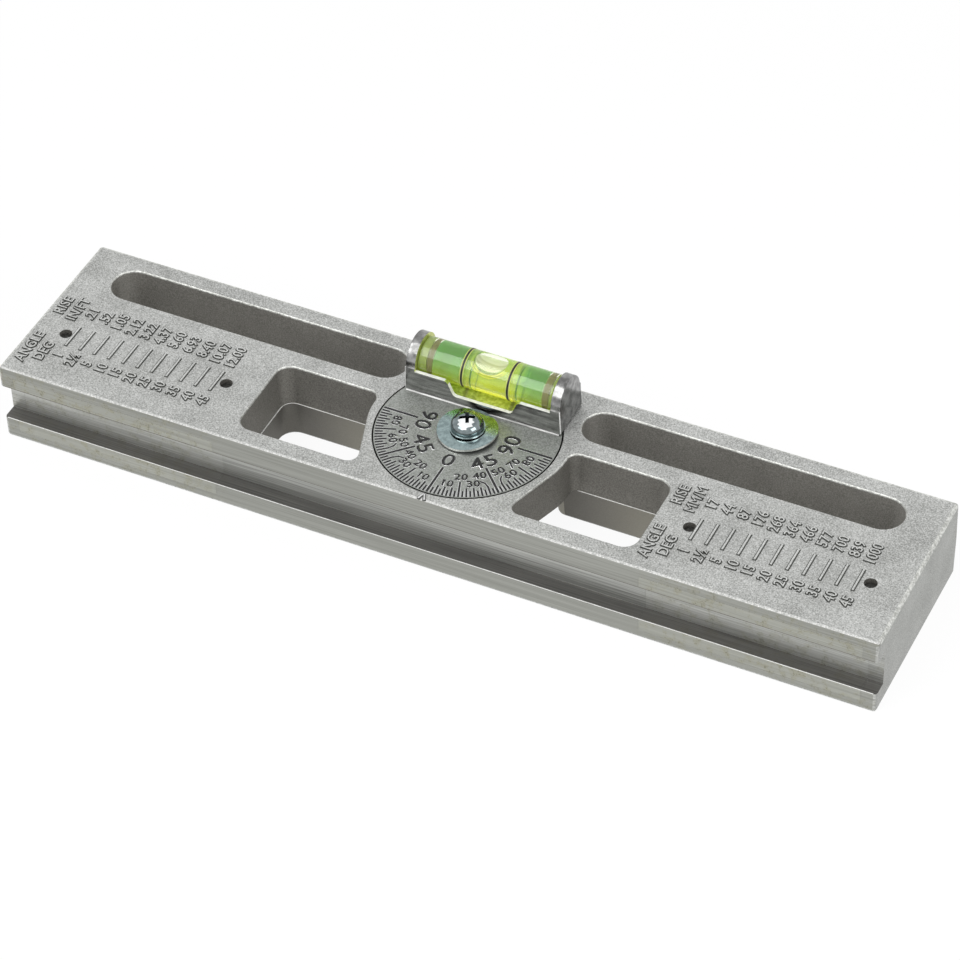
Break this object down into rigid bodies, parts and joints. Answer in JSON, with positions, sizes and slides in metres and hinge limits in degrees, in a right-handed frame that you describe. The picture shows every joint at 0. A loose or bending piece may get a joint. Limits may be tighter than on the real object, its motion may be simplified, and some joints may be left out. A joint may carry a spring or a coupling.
{
  "type": "magnetic protractor level",
  "caption": "Cast angle level with a grooved magnetic edge, long slots, two windows and a turning graduated dial that carries a tubular vial.",
  "frame": {"origin": "centre of the plain back face, which lies on Z = 0", "axes": "+X along the frame, -Y is the grooved magnetic edge, +Z is the side with the dial and the scales"},
  "size_m": [0.2286, 0.0508, 0.0348],
  "materials": {
    "cast_aluminium": "fine bead texture, ground magnetic edge",
    "magnet": "ground",
    "pole_plate": "ground flush with the edge",
    "pin": "dark",
    "screw": "bright plated",
    "washer": "bright zinc",
    "polished_casting": "polished casting, satin dial",
    "vial_tube": "clear",
    "liquid": "clear yellow-green",
    "ring_mark": "gloss black",
    "vial_cap": "clear",
    "seal": "matte"
  },
  "bodies": {
    "frame": {"body_casting": "cast_aluminium", "magnet_left": "magnet", "magnet_right": "magnet", "pole_plate_left_lower": "pole_plate", "pole_plate_left_upper": "pole_plate", "pole_plate_right_lower": "pole_plate", "pole_plate_right_upper": "pole_plate", "magnet_pin_left_inner": "pin", "magnet_pin_left_outer": "pin", "magnet_pin_right_inner": "pin", "magnet_pin_right_outer": "pin", "pivot_screw": "screw", "spring_washer": "washer", "head_washer": "washer"},
    "dial": {"dial_housing": "polished_casting", "vial_tube": "vial_tube", "vial_liquid": "liquid", "vial_ring_left": "ring_mark", "vial_ring_right": "ring_mark", "vial_cap_left": "vial_cap", "vial_cap_right": "vial_cap", "vial_seal_left": "seal", "vial_seal_right": "seal"}
  },
  "joints": [
    {"name": "dial_turn", "type": "hinge", "parent": "frame", "child": "dial", "pos_m": [0, 0, 0.0222], "axis": [0, 0, 1], "continuous": true}
  ]
}
